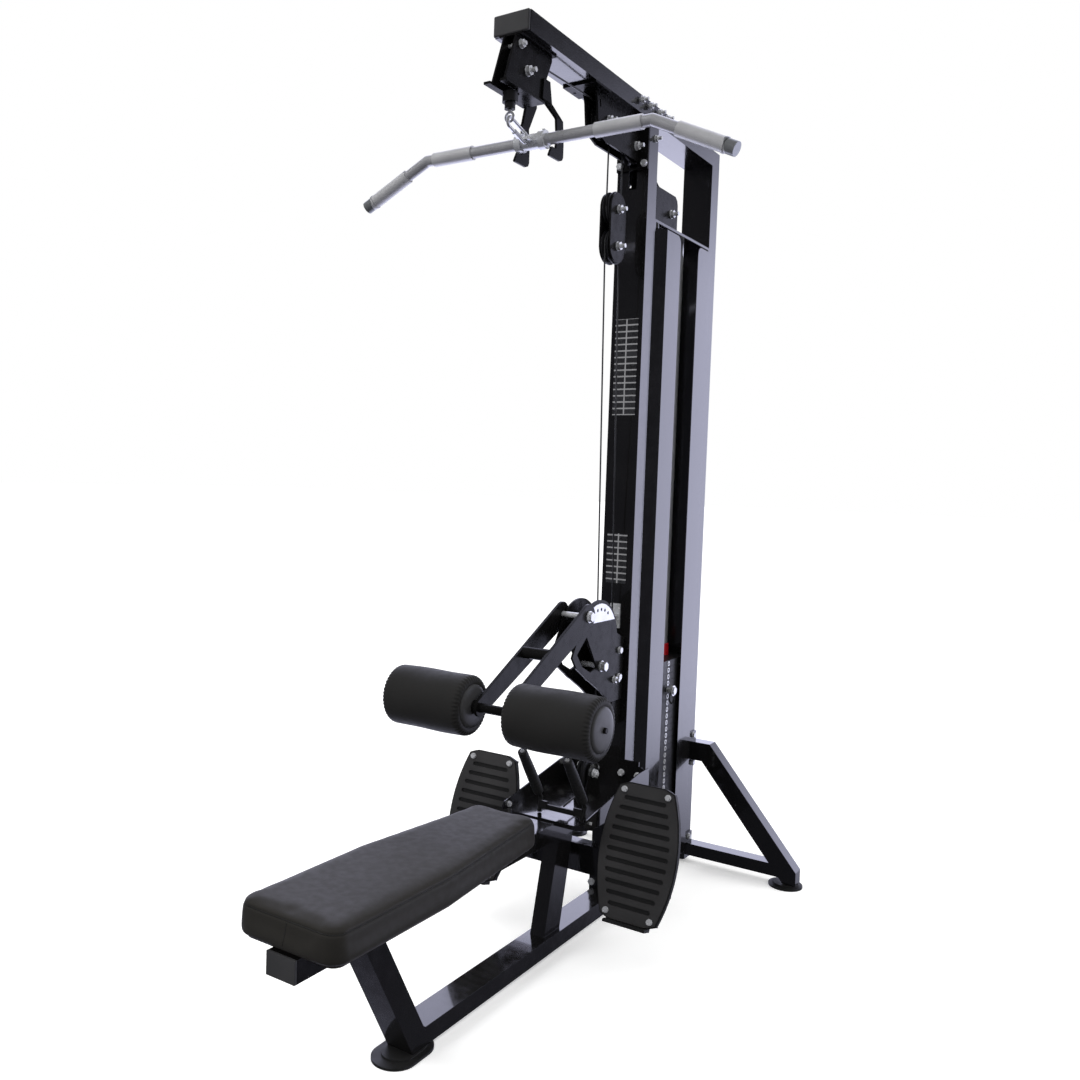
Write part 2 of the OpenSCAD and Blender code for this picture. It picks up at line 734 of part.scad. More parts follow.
// outline in XZ of the stub, the sloping leg and the low tube, shrunk by i
module leg_outline(i) {
    slope = -leg_dir[1] / leg_dir[0];
    polygon([
        [50 + i, 424 - i], [leg_x(424 - i, i), 424 - i],
        [leg_end[0] - i, leg_end[1] - i * (norm([1, slope]) - slope)], [leg_end[0] - i, 12 + i],
        [leg_x(12 + i, 60 - i), 12 + i], [leg_x(30 + i, 60 - i), 30 + i], [50 + i, 30 + i], [50 + i, 70 - i],
        [leg_x(70 - i, 60 - i), 70 - i], [leg_x(362 + i, 60 - i), 362 + i], [50 + i, 362 + i]
    ]);
}

module rear_stabiliser() {
    color("#1c1d20") mirrored() difference() {
        union() {
            translate([0, 547, 0]) rotate([90, 0, 0]) linear_extrude(50) leg_outline(0);
            translate([50, rear_y, 334]) cube([6, col_d, 118]);
            translate([50, rear_y, 14]) cube([6, col_d, 86]);
        }
        translate([0, 547 - wall, 0]) rotate([90, 0, 0]) linear_extrude(50 - 2 * wall) leg_outline(wall);
        for (z = stabiliser_z) hole_x(49, 57, 522, z, 5);
    }
}

stabiliser_z = [345, 441, 86];

module floor_feet() {
    color("#0d0e0f") {
        translate([0, -995, 0]) rotate([0, 0, 90]) obround(165, 108, 6);
        translate([0, -990, 5]) rotate([0, 0, 90]) obround(120, 80, base_z - 5);
        for (s = [-1, 1]) translate([s * foot_track, 522, 0]) {
            cylinder(r = 54, h = 6);
            translate([0, 0, 5]) cylinder(r = 40, h = 7);
        }
    }
}

// ---------- pulleys ----------
module pulley(c) { color("#15161a") wheel(c); }

module front_pulley() { pulley(front_wheel); }

module overhead_pulley() { pulley(overhead_wheel); }

module column_pulley() { pulley(column_wheel); }

module stack_pulley() { pulley(stack_wheel); }

module low_pulley() { pulley(low_wheel); }

module block_pulley_upper() { pulley([block_y, block_upper_z]); }

module block_pulley_lower() { pulley([block_y, block_lower_z]); }

module block_plates() {
    color("#101113") mirrored() at_x(13) linear_extrude(5) difference() {
        union() {
            for (z = [block_upper_z, block_lower_z]) translate([block_y, z]) circle(r = 47, $fn = 96);
            translate([block_y - 47, block_lower_z]) square([94, block_upper_z - block_lower_z]);
        }
        for (z = [block_upper_z, block_lower_z]) translate([block_y, z]) circle(r = axle_r + 0.4);
    }
}

module block_bolts() {
    color("#c9cbce") for (z = [block_upper_z, block_lower_z]) bolt_x(-18, 18, block_y, z, axle_r);
}

// ---------- thigh pad ----------
module tapered_link(c1, r1, c2, r2) {
    d = c2 - c1;
    len = norm(d);
    a = atan2(d[1], d[0]);
    b = acos((r1 - r2) / len);
    polygon([
        c1 + r1 * [cos(a + b), sin(a + b)], c2 + r2 * [cos(a + b), sin(a + b)],
        c2 + r2 * [cos(a - b), sin(a - b)], c1 + r1 * [cos(a - b), sin(a - b)]
    ]);
    translate(c1) circle(r = r1);
    translate(c2) circle(r = r2);
}

cross_bar = [-462, 838];
axle_half = 306;
shaft_r = 12;

module roller_arms() {
    color("#3c3e52") {
        mirrored() difference() {
            at_x(arm_x) linear_extrude(8) tapered_link(pivot, 35, roller, 23);
            rod_x(arm_x - 1, arm_x + 9, pivot[0], pivot[1], 8.06);
        }
        rod_x(-arm_x - 1, arm_x + 1, cross_bar[0], cross_bar[1], 16);
    }
    color("#c9cbce") {
        rod_x(-axle_half, axle_half, roller[0], roller[1], shaft_r);
        mirrored() rod_x(arm_x + 7, 60, roller[0], roller[1], 18);
        mirrored() translate([axle_half - 1, roller[0], roller[1]]) rotate([0, 90, 0]) hex(13, 8);
    }
}

// roller on the right (s = 1) or left (s = -1) of the arms
module thigh_roller(s) {
    len = 242;
    translate([s * 61, roller[0], roller[1]]) rotate([0, s * 90, 0]) rotate_extrude($fn = 96) polygon([
        [shaft_r + 0.06, 0], [55, 0], [66, 4], [74, 14], [roller_r, 28], [roller_r, len - 28], [74, len - 14],
        [66, len - 4], [55, len], [shaft_r + 0.06, len]
    ]);
}

module roller_right() { color("#1a1b1e") thigh_roller(1); }

module roller_left() { color("#1a1b1e") thigh_roller(-1); }

module pop_pin() {
    color("#dfe1e4") {
        rod_x(-bracket_x - 14, bracket_x + 20, pop[0], pop[1], 8);
        rod_x(bracket_x + 6.3, bracket_x + 10, pop[0], pop[1], 16);
        translate([bracket_x + 10, pop[0], pop[1]]) rotate([0, 90, 0]) hex(24, 14);
    }
}

// ---------- lat bar ----------
bar_r = bar_d / 2;
bar_bend_a = [bar_bend, bar_y, bar_z];
bar_tip = [bar_half, bar_y, bar_z - bar_drop];

// point on the bent end of the bar at distance x from the plane of symmetry
function bar_at(x) = bar_bend_a + (bar_tip - bar_bend_a) * (x - bar_bend) / (bar_half - bar_bend);

module lat_bar() {
    color("#d0d2d5") {
        rod_x(-bar_bend, bar_bend, bar_y, bar_z, bar_r);
        mirrored() {
            translate(bar_bend_a) sphere(r = bar_r);
            rod_pts(bar_bend_a, bar_tip, bar_r);
        }
    }
}

module bent_sleeve(x0, x1, r) {
    difference() {
        rod_pts(bar_at(x0), bar_at(x1), r);
        rod_pts(bar_at(x0 - 20), bar_at(x1 + 20), bar_r + 0.05);
    }
}

module bar_sleeves() {
    color("#e9eaec") mirrored() {
        difference() {
            rod_x(178, 300, bar_y, bar_z, bar_r + 3.5);
            rod_x(170, 310, bar_y, bar_z, bar_r + 0.05);
        }
        bent_sleeve(390, 500, bar_r + 3.5);
        bent_sleeve(500.5, 505, bar_r + 4.5);
        difference() {
            rod_pts(bar_at(505.5), bar_at(bar_half + 7), bar_r + 2.5);
            rod_pts(bar_at(490), bar_at(bar_half + 0.1), bar_r + 0.05);
        }
    }
}

lug_hole = [-601, 2135];

module bar_swivel() {
    color("#b9bcc0") difference() {
        union() {
            rod_x(-36, 36, bar_y, bar_z, bar_r + 4.5);
            mirrored() rod_x(24, 42, bar_y, bar_z, bar_r + 8);
            translate([-14, -616, lug_hole[1] - 2.5]) cube([28, 34, 5]);
            mirrored() rod_z(bar_z + 16, bar_z + bar_r + 12, 33, bar_y, 4);
        }
        rod_x(-60, 60, bar_y, bar_z, bar_r + 0.05);
        rod_z(lug_hole[1] - 10, lug_hole[1] + 10, 0, lug_hole[0], 6.5);
    }
}

link_r = 12;
link_a = [-612.5, 2138.4];
link_b = [-677.6, 2155.9];

module quick_link() {
    d = link_b - link_a;
    a = atan2(d[1], d[0]);
    color("#dfe1e4") at_x(0) translate(link_a) rotate([0, 0, a]) {
        for (y = [-link_r, link_r]) translate([0, y, 0]) rotate([0, 90, 0]) cylinder(r = 4, h = norm(d));
        rotate([0, 0, 90]) rotate_extrude(angle = 180, $fn = 64) translate([link_r, 0]) circle(r = 4, $fn = 32);
        translate([norm(d), 0, 0]) rotate([0, 0, -90]) rotate_extrude(angle = 180, $fn = 64)
            translate([link_r, 0]) circle(r = 4, $fn = 32);
        translate([norm(d) / 2 - 11, link_r, 0]) rotate([0, 90, 0]) hex(12, 22);
    }
}

eye_z = 2166;

module cable_stop() {
    color("#d0d2d5") {
        translate([0, drop_y, eye_z]) rotate([90, 0, 0]) rotate_extrude($fn = 64) translate([11, 0])
            circle(r = 3, $fn = 32);
        rod_z(eye_z + 11, eye_z + 18, 0, drop_y, 5);
    }
    color("#141414") {
        rod_z(eye_z + 18, eye_z + 34, 0, drop_y, 13);
        rod_z(eye_z + 34, eye_z + 58, 0, drop_y, 19);
    }
}

// ---------- row handle ----------
row_bend = [69, row_y + 15, tray_z + 46];
row_top = [69, row_y - 95, tray_z + 198];

module row_handle() {
    color("#c9cbce") translate([row_x, 0, 0]) {
        translate([-43, row_y + 1, row_z + 12]) cube([86, 6, 14]);
        mirrored() {
            rod_pts([65, row_y + 4, row_z], row_bend, 6);
            rod_pts(row_bend, row_top, 6);
            translate(row_bend) sphere(r = 6.5, $fn = 32);
            translate([42, row_y, row_z + 12]) cube([24, 8, 22]);
        }
        difference() {
            translate([-14, row_y + 6, row_z + 12]) cube([28, 22, 6]);
            rod_z(row_z, row_z + 30, 0, row_y + 18, 5);
        }
    }
}

module row_grips() {
    u = (row_top - row_bend) / norm(row_top - row_bend);
    color("#0f1012") translate([row_x, 0, 0]) mirrored() difference() {
        rod_pts(row_bend + u * 24, row_top - u * 3, 15);
        rod_pts(row_bend - u * 5, row_top + u * 20, 6.05);
    }
}

// ---------- cables ----------
drop_top = [0, drop_y, front_wheel[1]];

module lat_cable_drop() {
    color("#222222") strand([0, drop_y, eye_z + 58], drop_top);
}

// slope of the run between two wheels, to a tenth of a degree
function cross_angle(c1, c2) = round(atan2(c2[1] - c1[1], c2[0] - c1[0]) * 10) / 10;

module lat_cable_run() {
    a = cross_angle(front_wheel, overhead_wheel);
    color("#222222") {
        wrap(front_wheel, a + 90, 180);
        free_strand(on_wheel(front_wheel, a + 90), on_wheel(overhead_wheel, a + 90));
    }
}

module block_cable() {
    a = cross_angle(front_wheel, overhead_wheel);
    b = cross_angle(column_wheel, stack_wheel);
    color("#222222") {
        wrap(overhead_wheel, 0, a + 90);
        free_strand(on_wheel(overhead_wheel, 0), [0, block_y - groove_r, block_upper_z]);
        wrap([block_y, block_upper_z], 180, 360);
        free_strand([0, block_y + groove_r, block_upper_z], on_wheel(column_wheel, 180));
        wrap(column_wheel, b + 90, 180);
        free_strand(on_wheel(column_wheel, b + 90), on_wheel(stack_wheel, b + 90));
    }
}

module stack_cable() {
    b = cross_angle(column_wheel, stack_wheel);
    color("#222222") {
        wrap(stack_wheel, 0, b + 90);
        strand([0, stack_wheel[0] + groove_r, stack_wheel[1]], [0, stack_y, head_z + plate_t / 2 + 40]);
    }
}

module row_cable_riser() {
    color("#222222") {
        wrap([block_y, block_lower_z], 0, 180);
        strand([0, block_y - groove_r, block_lower_z], [0, low_wheel[0] + groove_r, low_wheel[1] + 0.1]);
        strand([0, block_y + groove_r, block_lower_z], [0, -24, 915]);
    }
}

module row_cable_lead() {
    color("#222222") {
        wrap(low_wheel, -90, 0);
        strand([0, low_wheel[0], low_wheel[1] - groove_r], [row_x, row_y + 24, row_z + 24]);
    }
}

module placed() { translate([0, 995, 0]) children(); }

placed() base_frame();
placed() front_column();
placed() rear_column();
placed() top_beam();
placed() tube_caps();
placed() gusset_bracket();
placed() pulley_housing();
placed() bar_hooks();
placed() frame_bolts();
placed() stack_bracket();
placed() rod_plates();
placed() guide_rods();
placed() stack_bumpers();
placed() resting_plates();
placed() resting_bushes();
placed() stack_shrouds();
placed() cable_anchor();
placed() instruction_plates();
placed() thigh_bracket();
placed() index_disc();
placed() pivot_bolt();
placed() footplates();
placed() footplate_covers();
placed() foot_tray();
placed() bench_board();
placed() bench_pad();
placed() rear_stabiliser();
placed() floor_feet();
placed() front_pulley();
placed() overhead_pulley();
placed() column_pulley();
placed() stack_pulley();
placed() low_pulley();
placed() block_plates();
placed() block_bolts();
placed() block_pulley_upper();
placed() block_pulley_lower();
placed() head_plate();
placed() selector_stem();
placed() lifted_plates();
placed() lifted_bushes();
placed() stack_sleeves();
placed() selector_pin();
placed() roller_arms();
placed() roller_right();
placed() roller_left();
placed() pop_pin();
placed() lat_bar();
placed() bar_sleeves();
placed() bar_swivel();
placed() quick_link();
placed() cable_stop();
placed() row_handle();
placed() row_grips();
placed() lat_cable_drop();
placed() lat_cable_run();
placed() block_cable();
placed() stack_cable();
placed() row_cable_riser();
placed() row_cable_lead();
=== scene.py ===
import math
import random

import bmesh
import bpy
from mathutils import Matrix, Vector
from mathutils.bvhtree import BVHTree


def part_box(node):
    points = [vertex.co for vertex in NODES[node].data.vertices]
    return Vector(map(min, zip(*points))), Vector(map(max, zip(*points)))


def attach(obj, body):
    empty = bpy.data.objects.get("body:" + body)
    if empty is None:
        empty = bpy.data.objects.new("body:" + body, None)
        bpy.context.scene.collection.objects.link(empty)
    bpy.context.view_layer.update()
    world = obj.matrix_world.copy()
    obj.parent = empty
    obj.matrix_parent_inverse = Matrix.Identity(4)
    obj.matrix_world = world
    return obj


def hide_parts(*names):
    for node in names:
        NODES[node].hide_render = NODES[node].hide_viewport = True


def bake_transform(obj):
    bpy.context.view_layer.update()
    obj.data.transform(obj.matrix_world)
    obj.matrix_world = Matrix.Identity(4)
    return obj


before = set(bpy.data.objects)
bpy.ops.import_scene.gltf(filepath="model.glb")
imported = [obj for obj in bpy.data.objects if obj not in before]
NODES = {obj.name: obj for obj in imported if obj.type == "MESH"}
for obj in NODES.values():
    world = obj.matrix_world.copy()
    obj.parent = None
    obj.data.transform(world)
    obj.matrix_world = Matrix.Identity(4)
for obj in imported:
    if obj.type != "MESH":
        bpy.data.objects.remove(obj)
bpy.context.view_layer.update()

RNG = random.Random(7)
MM = 0.001


# ---------- materials ----------
class Shader:
    """One node-based material, with short ways to add the nodes used here."""

    def __init__(self, name):
        self.material = bpy.data.materials.new(name)
        self.material.use_nodes = True
        self.tree = self.material.node_tree
        self.principled = self.tree.nodes["Principled BSDF"]
        self.place = self.node("ShaderNodeTexCoord").outputs["Object"]

    def node(self, kind, **settings):
        made = self.tree.nodes.new(kind)
        for key, value in settings.items():
            setattr(made, key, value)
        return made

    def link(self, source, target):
        self.tree.links.new(source, target)

    def put(self, target, value):
        if hasattr(value, "is_linked"):
            self.link(value, target)
        else:
            target.default_value = value

    def noise(self, scale, detail=3.0, stretch=None):
        made = self.node("ShaderNodeTexNoise")
        made.inputs["Scale"].default_value = scale
        made.inputs["Detail"].default_value = detail
        self.link(self.stretched(stretch), made.inputs["Vector"])
        return made.outputs["Fac"]

    def cells(self, scale):
        made = self.node("ShaderNodeTexVoronoi", feature="DISTANCE_TO_EDGE")
        made.inputs["Scale"].default_value = scale
        self.link(self.place, made.inputs["Vector"])
        return made.outputs["Distance"]

    def stretched(self, stretch):
        if stretch is None:
            return self.place
        made = self.node("ShaderNodeMapping")
        made.inputs["Scale"].default_value = stretch
        self.link(self.place, made.inputs["Vector"])
        return made.outputs["Vector"]

    def spread(self, value, low, high, start=0.3, end=0.7):
        made = self.node("ShaderNodeMapRange")
        self.link(value, made.inputs["Value"])
        for key, number in (("From Min", start), ("From Max", end), ("To Min", low), ("To Max", high)):
            made.inputs[key].default_value = number
        return made.outputs["Result"]

    def maths(self, operation, first, second=0.0):
        made = self.node("ShaderNodeMath", operation=operation)
        self.put(made.inputs[0], first)
        self.put(made.inputs[1], second)
        return made.outputs["Value"]

    def axis(self, name):
        made = self.node("ShaderNodeSeparateXYZ")
        self.link(self.place, made.inputs["Vector"])
        return made.outputs[name]

    def mix(self, share, first, second):
        made = self.node("ShaderNodeMix", data_type="RGBA")
        self.put(made.inputs["Factor"], share)
        self.put(made.inputs[6], first)
        self.put(made.inputs[7], second)
        return made.outputs[2]

    def tint(self, colour, amount, scale=7.0):
        """The colour, a little darker and lighter from place to place."""
        dark = tuple(c * (1 - amount) for c in colour) + (1.0,)
        light = tuple(min(1.0, c * (1 + amount)) for c in colour) + (1.0,)
        return self.mix(self.spread(self.noise(scale), 0.0, 1.0), dark, light)

    def rounded(self, radius):
        made = self.node("ShaderNodeBevel", samples=4)
        made.inputs["Radius"].default_value = radius
        return made.outputs["Normal"]

    def bump(self, height, strength, distance, normal=None):
        made = self.node("ShaderNodeBump")
        made.inputs["Strength"].default_value = strength
        made.inputs["Distance"].default_value = distance
        self.link(height, made.inputs["Height"])
        if normal is not None:
            self.link(normal, made.inputs["Normal"])
        return made.outputs["Normal"]

    def set(self, **values):
        for key, value in values.items():
            self.put(self.principled.inputs[key.replace("_", " ")], value)
        return self


def paint(name, colour, rough, peel, radius=1.6 * MM, coat=1.0):
    """Gloss powder coat: orange peel, soft edges and a clear top layer."""
    s = Shader(name)
    normal = s.bump(s.noise(260.0, 2.0), peel, 0.6 * MM, s.rounded(radius))
    s.set(Base_Color=s.tint(colour, 0.25), Roughness=s.spread(s.noise(40.0), rough * 0.7, rough * 1.4))
    s.set(IOR=1.45, Coat_Weight=coat, Coat_Roughness=0.05, Coat_IOR=1.5, Normal=normal)
    s.set(Specular_IOR_Level=0.15 + 0.35 * coat)
    return s.material


def metal(name, colour, rough, stretch=None, scale=120.0, radius=0.6 * MM, scratch=0.05, body=1.0):
    """Bare or plated metal with fine marks; a body below 1 adds the milky part of a satin finish."""
    s = Shader(name)
    marks = s.noise(scale, 4.0, stretch)
    normal = s.bump(marks, scratch, 0.2 * MM, s.rounded(radius))
    s.set(Base_Color=s.tint(colour, 0.06, 30.0), Metallic=body)
    s.set(Roughness=s.spread(marks, rough * 0.7, rough * 1.35), Normal=normal)
    return s.material


def moulded(name, colour, rough, grain=500.0, strength=0.12, radius=1.0 * MM):
    """Plastic or rubber with a fine moulded grain."""
    s = Shader(name)
    normal = s.bump(s.noise(grain, 2.0), strength, 0.3 * MM, s.rounded(radius))
    s.set(Base_Color=s.tint(colour, 0.2), Roughness=s.spread(s.noise(25.0), rough * 0.85, rough * 1.15))
    s.set(IOR=1.5, Normal=normal)
    return s.material


def vinyl(name, colour):
    """Upholstery vinyl: leather grain, slow colour drift and a soft sheen."""
    s = Shader(name)
    grain = s.bump(s.cells(620.0), 0.22, 0.25 * MM)
    creases = s.bump(s.noise(18.0, 4.0), 0.10, 2.5 * MM, grain)
    s.set(Base_Color=s.tint(colour, 0.05, 4.0), Roughness=s.spread(s.noise(60.0), 0.48, 0.58))
    s.set(Sheen_Weight=0.04, Sheen_Roughness=0.5, Specular_IOR_Level=0.20, Normal=creases)
    return s.material


def knurled(name):
    """Silver bar grips with crossed cuts, and darker smooth caps beyond them."""
    s = Shader(name)
    length = s.maths("ABSOLUTE", s.axis("X"))
    cuts = s.node("ShaderNodeTexVoronoi", feature="DISTANCE_TO_EDGE", distance="EUCLIDEAN")
    cuts.inputs["Scale"].default_value = 420.0
    cuts.inputs["Randomness"].default_value = 0.0
    s.link(s.place, cuts.inputs["Vector"])
    cap = s.maths("GREATER_THAN", length, 505 * MM)
    s.set(Base_Color=s.mix(cap, s.tint((0.86, 0.86, 0.87), 0.05, 20.0), (0.30, 0.31, 0.32, 1.0)))
    s.set(Metallic=0.65, Roughness=s.maths("ADD", s.maths("MULTIPLY", cap, -0.2), 0.5))
    s.set(Normal=s.bump(cuts.outputs["Distance"], 0.25, 0.3 * MM))
    return s.material


def banded(name, axis, limit, above, below):
    """Two finishes on one piece, parted at a height or length: (colour, metallic, roughness)."""
    s = Shader(name)
    high = s.maths("GREATER_THAN", s.axis(axis), limit)
    s.set(Base_Color=s.mix(high, below[0] + (1.0,), above[0] + (1.0,)))
    s.set(Metallic=s.maths("ADD", s.maths("MULTIPLY", high, above[1] - below[1]), below[1]))
    s.set(Roughness=s.maths("ADD", s.maths("MULTIPLY", high, above[2] - below[2]), below[2]))
    s.set(Normal=s.bump(s.noise(300.0), 0.06, 0.3 * MM, s.rounded(0.6 * MM)))
    return s.material


def panel(name):
    """Blank instruction plate: dark face with pale rules."""
    s = Shader(name)
    rows = s.node("ShaderNodeTexBrick")
    rows.offset = 0.0
    for key, number in (("Scale", 1.0), ("Mortar Size", 0.0022), ("Brick Width", 0.5), ("Row Height", 0.019)):
        rows.inputs[key].default_value = number
    flat = s.node("ShaderNodeMapping")
    flat.inputs["Rotation"].default_value = (-math.pi / 2, 0.0, 0.0)
    s.link(s.place, flat.inputs["Vector"])
    s.link(flat.outputs["Vector"], rows.inputs["Vector"])
    rows.inputs["Color1"].default_value = (0.018, 0.018, 0.02, 1.0)
    rows.inputs["Color2"].default_value = (0.03, 0.03, 0.034, 1.0)
    rows.inputs["Mortar"].default_value = (0.30, 0.30, 0.31, 1.0)
    s.set(Base_Color=rows.outputs["Color"], Roughness=s.spread(s.noise(80.0), 0.22, 0.34))
    s.set(Normal=s.rounded(0.5 * MM))
    return s.material


BLACK = paint("black_paint", (0.0060, 0.0058, 0.0060), 0.16, 0.10)
DARK = paint("plain_black_paint", (0.0060, 0.0058, 0.0060), 0.24, 0.12, coat=0.0)
BEAM = paint("hammered_paint", (0.0065, 0.0060, 0.0060), 0.16, 0.60)
ZINC = metal("bright_zinc", (0.82, 0.83, 0.86), 0.22, body=0.55)
CHROME = metal("chrome", (0.80, 0.81, 0.84), 0.09, scratch=0.02, body=0.75)
SATIN = metal("satin_bar", (0.60, 0.60, 0.62), 0.32, stretch=(1.0, 30.0, 30.0), scratch=0.08, body=0.62)
ROD = metal("ground_rod", (0.70, 0.71, 0.73), 0.16, stretch=(1.0, 1.0, 30.0), body=0.7)
DISC = metal("polished_plate", (0.85, 0.86, 0.88), 0.16, body=0.6)
CAST = moulded("black_cast", (0.012, 0.012, 0.013), 0.42, 260.0, 0.35, 1.2 * MM)
NYLON = moulded("black_nylon", (0.010, 0.010, 0.011), 0.30, 700.0, 0.05)
PLASTIC = moulded("grey_plastic", (0.045, 0.045, 0.047), 0.42, 800.0, 0.10, 2.0 * MM)
RUBBER = moulded("black_rubber", (0.014, 0.014, 0.014), 0.55, 500.0, 0.25)
PLATE = moulded("foot_plate", (0.040, 0.039, 0.040), 0.38, 900.0, 0.18, 0.8 * MM)
RED = moulded("red_plastic", (0.62, 0.012, 0.02), 0.25)
WOOD = moulded("stained_board", (0.020, 0.016, 0.013), 0.6, 90.0, 0.3)
CABLE = moulded("coated_cable", (0.030, 0.030, 0.032), 0.30, 1500.0, 0.25)
VINYL = vinyl("dark_vinyl", (0.019, 0.0185, 0.018))
SEAT = vinyl("seat_vinyl", (0.022, 0.0205, 0.018))
THREAD = moulded("thread", (0.020, 0.020, 0.020), 0.7)
KNURL = knurled("knurled_grip")
LABEL = panel("blank_panel")
DULL = ((0.012, 0.012, 0.012), 0.0, 0.40)
SHINY = ((0.82, 0.83, 0.86), 0.80, 0.11)
STOP = banded("cable_end", "Z", 2183 * MM, DULL, SHINY)
HANDLE = banded("handle_finish", "Z", 430 * MM, SHINY, DULL)


FINISH = {
    BLACK: "base_frame front_column rear_column rod_plates rear_stabiliser foot_tray stack_shrouds",
    DARK: "gusset_bracket pulley_housing bar_hooks stack_bracket block_plates thigh_bracket roller_arms",
    BEAM: "top_beam",
    ZINC: "frame_bolts block_bolts cable_anchor pivot_bolt bar_swivel resting_bushes lifted_bushes",
    CHROME: "selector_stem selector_pin pop_pin quick_link",
    ROD: "guide_rods",
    DISC: "index_disc",
    SATIN: "lat_bar",
    KNURL: "bar_sleeves",
    CAST: "resting_plates head_plate lifted_plates",
    NYLON: "front_pulley overhead_pulley column_pulley stack_pulley low_pulley block_pulley_upper "
           "block_pulley_lower",
    PLASTIC: "tube_caps",
    PLATE: "footplates",
    RUBBER: "footplate_covers floor_feet stack_bumpers",
    RED: "stack_sleeves",
    WOOD: "bench_board",
    CABLE: "lat_cable_run",
    LABEL: "instruction_plates",
    STOP: "cable_stop",
    HANDLE: "row_handle",
}
for material, names in FINISH.items():
    for name in names.split():
        slots = NODES[name].data.materials
        slots.clear()
        slots.append(material)


# ---------- mesh helpers ----------
def piece(name, vertices, faces, material, body=None, smooth=True):
    mesh = bpy.data.meshes.new(name)
    mesh.from_pydata([tuple(v) for v in vertices], [], faces)
    mesh.validate()
    shell = bmesh.new()
    shell.from_mesh(mesh)
    bmesh.ops.recalc_face_normals(shell, faces=shell.faces)
    shell.to_mesh(mesh)
    shell.free()
    mesh.materials.append(material)
    if smooth:
        mesh.shade_smooth()
    made = bpy.data.objects.new(name, mesh)
    bpy.context.scene.collection.objects.link(made)
    if body:
        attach(made, body)
    return made


def tube(path, radius, sides=12, closed=False):
    """Vertices and faces of a round tube along a list of points."""
    path = [Vector(p) for p in path]
    count = len(path)
    vertices, faces = [], []
    side = None
    for i, point in enumerate(path):
        before = path[i - 1] if i or closed else point
        after = path[(i + 1) % count] if i + 1 < count or closed else point
        along = (after - before).normalized()
        if side is None:
            side = along.orthogonal().normalized()
        side = (side - along * side.dot(along)).normalized()
        other = along.cross(side)
        for k in range(sides):
            a = 2 * math.pi * k / sides
            vertices.append(point + radius * (math.cos(a) * side + math.sin(a) * other))
    for i in range(count if closed else count - 1):
        for k in range(sides):
            j, m = (i + 1) % count, (k + 1) % sides
            faces.append((i * sides + k, j * sides + k, j * sides + m, i * sides + m))
    if not closed:
        faces.append(tuple(range(sides))[::-1])
        faces.append(tuple(range((count - 1) * sides, count * sides)))
    return vertices, faces


def lathe(profile, start, end, sides=96, shape=None):
    """Turns [(distance along the axis, radius)] about the line from start to end."""
    start, end = Vector(start), Vector(end)
    along = (end - start).normalized()
    side = along.orthogonal().normalized()
    other = along.cross(side)
    vertices, faces = [], []
    for distance, radius in profile:
        for k in range(sides):
            a = 2 * math.pi * k / sides
            r = shape(distance, radius, a) if shape else radius
            vertices.append(start + along * distance + r * (math.cos(a) * side + math.sin(a) * other))
    rings = len(profile)
    for i in range(rings - 1):
        for k in range(sides):
            m = (k + 1) % sides
            faces.append((i * sides + k, (i + 1) * sides + k, (i + 1) * sides + m, i * sides + m))
    faces.append(tuple(range(sides)))
    faces.append(tuple(range((rings - 1) * sides, rings * sides))[::-1])
    return vertices, faces


def middle(name):
    low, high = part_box(name)
    return (low + high) / 2


# ---------- cables ----------
CABLE_R = 2.4 * MM
GROOVE_R = 44 * MM


def at_groove(wheel, degrees):
    a = math.radians(degrees)
    return wheel + GROOVE_R * Vector((0.0, math.cos(a), math.sin(a)))


def wrap(name, wheel, start, end, body):
    steps = max(4, int(abs(end - start) / 4))
    path = [at_groove(wheel, start + (end - start) * i / steps) for i in range(steps + 1)]
    return piece(name, *tube(path, CABLE_R), CABLE, body)


def strand(name, a, b):
    """Straight length of cable from a to b, meant to run between two bodies; it is attached to neither."""
    made = piece(name, *tube([a, b], CABLE_R), CABLE)
    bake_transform(made)
    return made


def cables():
    front, over, column = middle("front_pulley"), middle("overhead_pulley"), middle("column_pulley")
    stack, low = middle("stack_pulley"), middle("low_pulley")
    upper, lower = middle("block_pulley_upper"), middle("block_pulley_lower")

    def lean(a, b):
        return math.degrees(math.atan2(b.z - a.z, b.y - a.y)) + 90

    stop_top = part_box("cable_stop")[1].z
    drop = strand("lat_cable_drop_line", at_groove(front, 180), Vector((0, front.y - GROOVE_R, stop_top)))
    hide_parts("lat_cable_drop")

    wrap("overhead_wrap", over, 0, lean(front, over), "frame")
    down = strand("block_line_front", at_groove(over, 0), at_groove(upper, 180))
    wrap("block_wrap_upper", upper, 180, 360, "block")
    strand("block_line_rear", at_groove(column, 180), at_groove(upper, 0))
    wrap("column_wrap", column, lean(column, stack), 180, "frame")
    run = [at_groove(column, lean(column, stack)), at_groove(stack, lean(column, stack))]
    piece("tower_line", *tube(run, CABLE_R), CABLE, "frame")
    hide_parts("block_cable")

    wrap("stack_wrap", stack, 0, lean(column, stack), "frame")
    stem_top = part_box("selector_stem")[1].z
    stem_end = Vector((0, stack.y + GROOVE_R, stem_top))
    lift = strand("stack_line", at_groove(stack, 0), stem_end)
    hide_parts("stack_cable")

    wrap("block_wrap_lower", lower, 0, 180, "block")
    riser = strand("row_line_front", at_groove(low, 0), at_groove(lower, 180))
    strand("row_line_rear", Vector((0, 971 * MM, 915 * MM)), at_groove(lower, 0))
    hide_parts("row_cable_riser")

    wrap("low_wrap", low, -90, 0, "frame")
    lead_low, lead_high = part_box("row_cable_lead")
    lug = Vector((lead_high.x - CABLE_R, lead_low.y, 402.5 * MM))
    lead = strand("row_line_lead", at_groove(low, -90), lug)
    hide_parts("row_cable_lead")


